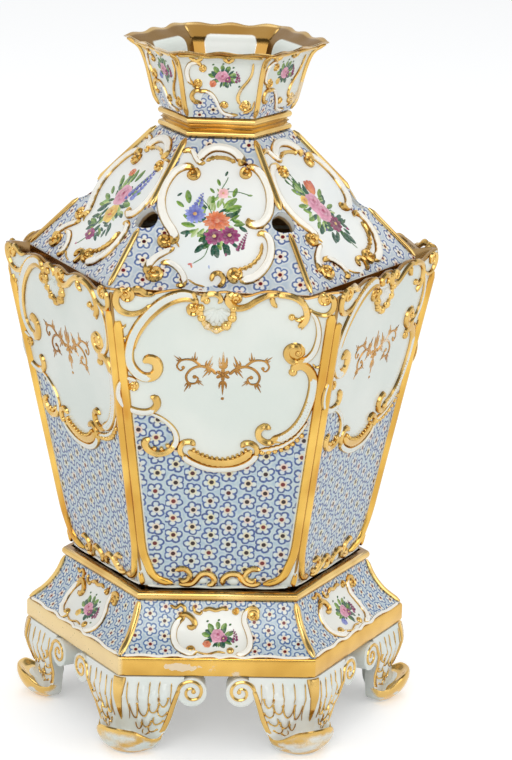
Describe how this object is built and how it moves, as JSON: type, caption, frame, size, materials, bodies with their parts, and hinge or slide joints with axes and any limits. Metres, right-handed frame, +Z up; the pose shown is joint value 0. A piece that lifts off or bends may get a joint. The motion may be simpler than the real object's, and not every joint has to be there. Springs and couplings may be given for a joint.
{
  "type": "bough pot",
  "caption": "Hexagonal porcelain bough pot: a tapering painted pot on a footed stand, with a pierced cover and a flaring neck that hold cut flowers.",
  "frame": {"origin": "middle of the stand on the surface it rests on", "axes": "+Z up through the neck, -Y out of the front panel, +X out of a corner"},
  "size_m": [0.2142, 0.1896, 0.3397],
  "materials": {
    "white_glaze": "gloss",
    "blue_diaper": "gloss",
    "gilding": "burnished"
  },
  "bodies": {
    "stand": {"stand_base_band": "gilding", "stand_cavetto": "blue_diaper", "stand_astragal": "gilding", "foot_1": "white_glaze", "foot_2": "white_glaze", "foot_3": "white_glaze", "foot_4": "white_glaze", "foot_5": "white_glaze", "foot_6": "white_glaze", "stand_rib_1": "gilding", "stand_rib_2": "gilding", "stand_rib_3": "gilding", "stand_rib_4": "gilding", "stand_rib_5": "gilding", "stand_rib_6": "gilding", "stand_frame_1": "white_glaze", "stand_frame_2": "white_glaze", "stand_frame_3": "white_glaze", "stand_frame_4": "white_glaze", "stand_frame_5": "white_glaze", "stand_frame_6": "white_glaze"},
    "pot": {"pot_wall": "blue_diaper", "pot_pilaster_1": "gilding", "pot_pilaster_2": "gilding", "pot_pilaster_3": "gilding", "pot_pilaster_4": "gilding", "pot_pilaster_5": "gilding", "pot_pilaster_6": "gilding", "pot_frame_1": "white_glaze", "pot_frame_2": "white_glaze", "pot_frame_3": "white_glaze", "pot_frame_4": "white_glaze", "pot_frame_5": "white_glaze", "pot_frame_6": "white_glaze"},
    "cover": {"cover_shell": "blue_diaper", "neck_collar": "gilding", "neck": "white_glaze", "cover_rib_lower_1": "gilding", "cover_rib_lower_2": "gilding", "cover_rib_lower_3": "gilding", "cover_rib_lower_4": "gilding", "cover_rib_lower_5": "gilding", "cover_rib_lower_6": "gilding", "cover_rib_upper_1": "gilding", "cover_rib_upper_2": "gilding", "cover_rib_upper_3": "gilding", "cover_rib_upper_4": "gilding", "cover_rib_upper_5": "gilding", "cover_rib_upper_6": "gilding", "cover_frame_1": "white_glaze", "cover_frame_2": "white_glaze", "cover_frame_3": "white_glaze", "cover_frame_4": "white_glaze", "cover_frame_5": "white_glaze", "cover_frame_6": "white_glaze"}
  },
  "joints": [
    {"name": "pot_lift", "type": "slide", "parent": "stand", "child": "pot", "axis": [0, 0, 1], "range_m": [0, 0.06]},
    {"name": "cover_lift", "type": "slide", "parent": "pot", "child": "cover", "axis": [0, 0, 1], "range_m": [0, 0.08]}
  ]
}
